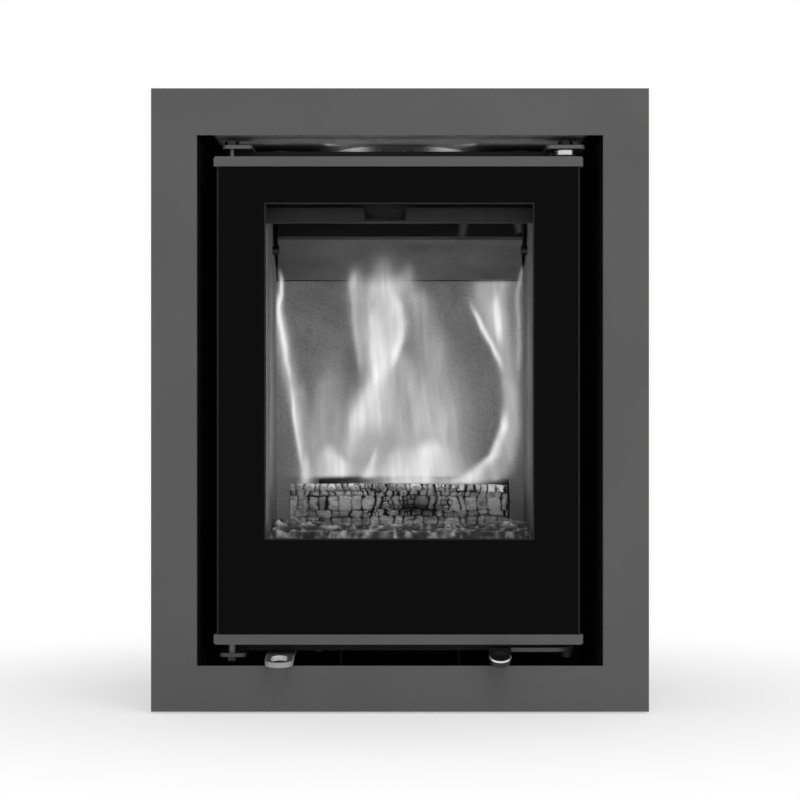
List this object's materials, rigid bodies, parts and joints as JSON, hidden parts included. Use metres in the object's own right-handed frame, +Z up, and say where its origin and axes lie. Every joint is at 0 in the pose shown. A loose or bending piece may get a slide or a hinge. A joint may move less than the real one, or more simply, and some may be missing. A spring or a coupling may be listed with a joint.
{
  "type": "inset fireplace",
  "caption": "Inset fireplace with a grey surround frame, a side-hung glazed door, a brick-lined firebox with burning logs and a sliding air control.",
  "frame": {"origin": "on the hearth, under the middle of the whole part's width and depth", "axes": "+Z up, +Y from the room into the wall, +X to the viewer's right"},
  "size_m": [0.5, 0.396, 0.628],
  "materials": {
    "satin_grey": "satin powder coat",
    "black_paint": "matt heat-resistant black",
    "casing_steel": "galvanised sheet, faintly spangled",
    "cast_dark": "matt cast iron",
    "bright_steel": "turned and ground",
    "dark_steel": "blackened",
    "black_glass": "ceramic glass with a black printed border",
    "rope_grey": "woven glass-fibre rope",
    "firebrick": "vermiculite board, sooted",
    "charred_wood": "charred bark and split faces",
    "ash": "ash and embers",
    "magnet": "nickel plated"
  },
  "bodies": {
    "root": {"surround_frame": "satin_grey", "firebox_front": "black_paint", "firebox_left": "black_paint", "firebox_right": "black_paint", "firebox_back": "black_paint", "firebox_top": "black_paint", "firebox_bottom": "black_paint", "upper_hinge_plate": "black_paint", "lower_hinge_plate": "black_paint", "roller_bracket": "black_paint", "airwash_duct": "black_paint", "support_rails": "black_paint", "casing_left": "black_paint", "casing_right": "black_paint", "casing_base": "black_paint", "casing_back": "black_paint", "mounting_flange": "casing_steel", "casing_top": "casing_steel", "top_caps": "casing_steel", "air_inlet_spigot": "casing_steel", "flue_collar": "cast_dark", "latch_keeper": "bright_steel", "upper_hinge_pin": "dark_steel", "lower_hinge_pin": "dark_steel", "collar_bolts": "dark_steel", "arm_bolts": "dark_steel", "roller_bolt": "dark_steel", "levelling_feet": "dark_steel", "shutter_guides": "dark_steel", "hearth_plate": "dark_steel", "air_riser_left": "dark_steel", "air_riser_right": "dark_steel", "upper_baffle": "dark_steel", "baffle_pegs": "dark_steel", "floor_brick_left": "firebrick", "floor_brick_right": "firebrick", "side_brick_left": "firebrick", "side_brick_right": "firebrick", "back_brick": "firebrick", "baffle_board": "firebrick", "front_log": "charred_wood", "rear_log": "charred_wood", "ember_bed": "ash", "frame_magnets": "magnet"},
    "door": {"door_glass": "black_glass", "top_strip": "satin_grey", "bottom_strip": "satin_grey", "door_frame": "black_paint", "door_screws": "dark_steel", "glass_seal": "rope_grey", "rope_seal": "rope_grey", "guide_lug": "black_paint", "latch_bearing": "dark_steel"},
    "latch": {"latch_spindle": "dark_steel", "latch_lever": "satin_grey", "latch_handle": "black_paint", "latch_hook": "dark_steel"},
    "air_control": {"air_tab": "satin_grey", "air_shutter": "dark_steel"},
    "roller": {"guide_roller": "bright_steel"}
  },
  "joints": [
    {"name": "door_swing", "type": "hinge", "parent": "root", "child": "door", "pos_m": [-0.17, -0.149, 0.0685], "axis": [0, 0, -1], "range_deg": [0, 105]},
    {"name": "latch_turn", "type": "hinge", "parent": "door", "child": "latch", "pos_m": [0.169, -0.1355, 0.0632], "axis": [0, 0, 1], "range_deg": [-14, 35]},
    {"name": "roller_spin", "type": "hinge", "parent": "root", "child": "roller", "pos_m": [0.1674, -0.149, 0.565], "axis": [0, 0, 1], "continuous": true},
    {"name": "air_slide", "type": "slide", "parent": "root", "child": "air_control", "axis": [0, -1, 0], "range_m": [-0.016, 0.013]}
  ]
}
